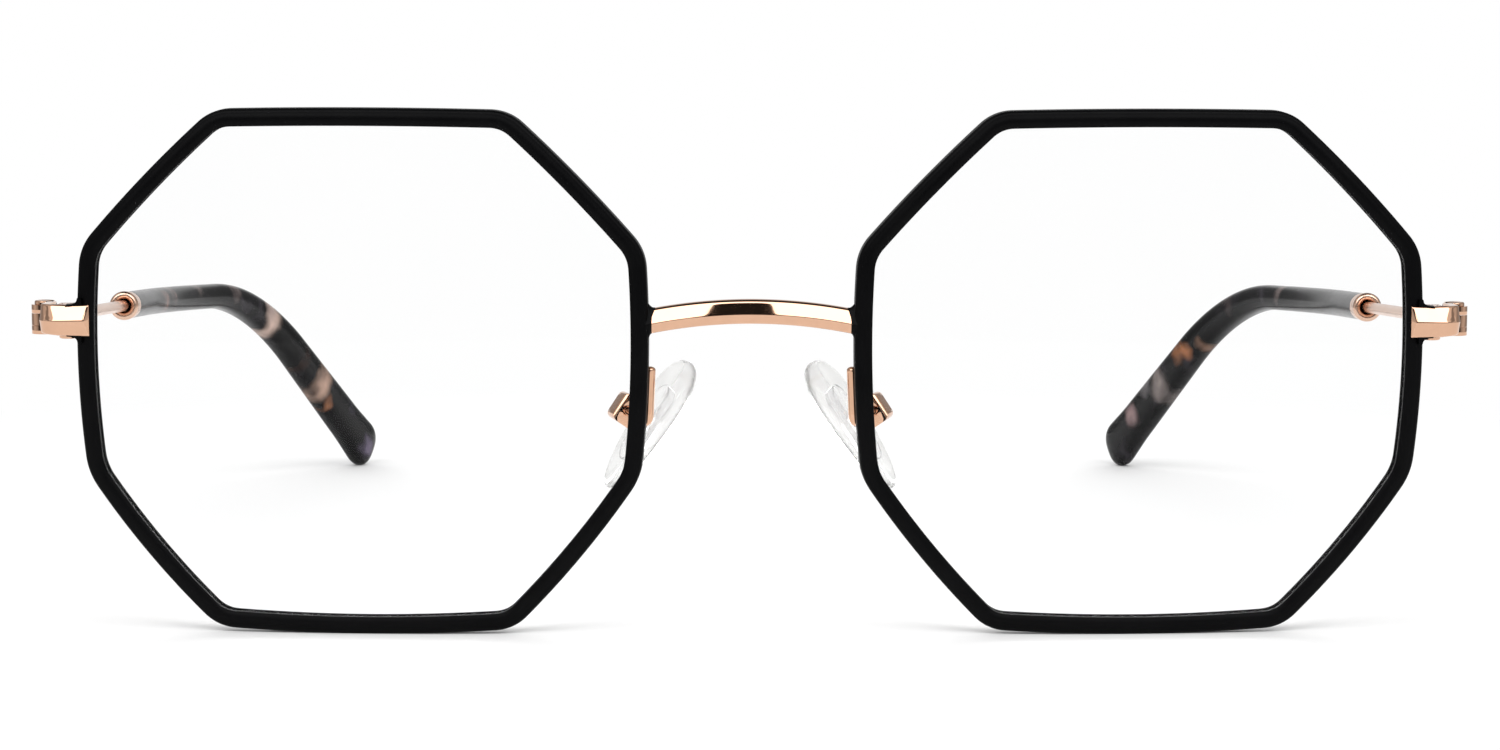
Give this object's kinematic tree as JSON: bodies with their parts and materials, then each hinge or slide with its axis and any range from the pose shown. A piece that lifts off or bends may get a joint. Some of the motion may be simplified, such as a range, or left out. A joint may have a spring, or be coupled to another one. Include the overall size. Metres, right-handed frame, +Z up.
{
  "type": "eyeglasses",
  "caption": "Geometric eyeglasses with octagonal matte black metal rims, a rose gold bridge, folding wire temples, mottled dark tips and clear nose pads on wire arms",
  "frame": {"origin": "middle of the object's box at the plane on which its rims and tips stand, temples open", "axes": "+X to the wearer's left, -Y the way the wearer looks, temples along +Y, +Z up"},
  "size_m": [0.1412, 0.14, 0.0511],
  "materials": {
    "rim_black": "matte",
    "rose_gold": "polished",
    "lens": "clear",
    "acetate": "mottled dark grey, lilac and tan, polished",
    "pad_silicone": "clear soft",
    "pad_plate": "clear"
  },
  "bodies": {
    "front": {"bridge": "rose_gold", "rim_left": "rim_black", "lens_left": "lens", "end_piece_left": "rose_gold", "hinge_screw_left": "rose_gold", "closing_block_upper_left": "rose_gold", "closing_block_lower_left": "rose_gold", "closing_screw_left": "rose_gold", "pad_arm_left": "rose_gold", "pad_box_left": "rose_gold", "pad_screw_left": "rose_gold", "rim_right": "rim_black", "lens_right": "lens", "end_piece_right": "rose_gold", "hinge_screw_right": "rose_gold", "closing_block_upper_right": "rose_gold", "closing_block_lower_right": "rose_gold", "closing_screw_right": "rose_gold", "pad_arm_right": "rose_gold", "pad_box_right": "rose_gold", "pad_screw_right": "rose_gold"},
    "temple_left": {"temple_hinge_left": "rose_gold", "temple_wire_left": "rose_gold", "ferrule_left": "rose_gold", "temple_tip_left": "acetate"},
    "temple_right": {"temple_hinge_right": "rose_gold", "temple_wire_right": "rose_gold", "ferrule_right": "rose_gold", "temple_tip_right": "acetate"},
    "pad_left": {"nose_pad_left": "pad_silicone", "pad_core_left": "pad_plate"},
    "pad_right": {"nose_pad_right": "pad_silicone", "pad_core_right": "pad_plate"}
  },
  "joints": [
    {"name": "temple_left_fold", "type": "hinge", "parent": "front", "child": "temple_left", "pos_m": [0.06902, -0.06119, 0.03024], "axis": [0, 0, 1], "range_deg": [0, 81]},
    {"name": "temple_right_fold", "type": "hinge", "parent": "front", "child": "temple_right", "pos_m": [-0.06902, -0.06119, 0.03024], "axis": [0, 0, -1], "range_deg": [0, 73]},
    {"name": "pad_left_rock", "type": "hinge", "parent": "front", "child": "pad_left", "pos_m": [0.01211, -0.0598, 0.02112], "axis": [0.3006, 0.9533, 0.0301], "range_deg": [-8, 8]},
    {"name": "pad_right_rock", "type": "hinge", "parent": "front", "child": "pad_right", "pos_m": [-0.01211, -0.0598, 0.02112], "axis": [0.3006, -0.9533, -0.0301], "range_deg": [-8, 8]}
  ]
}
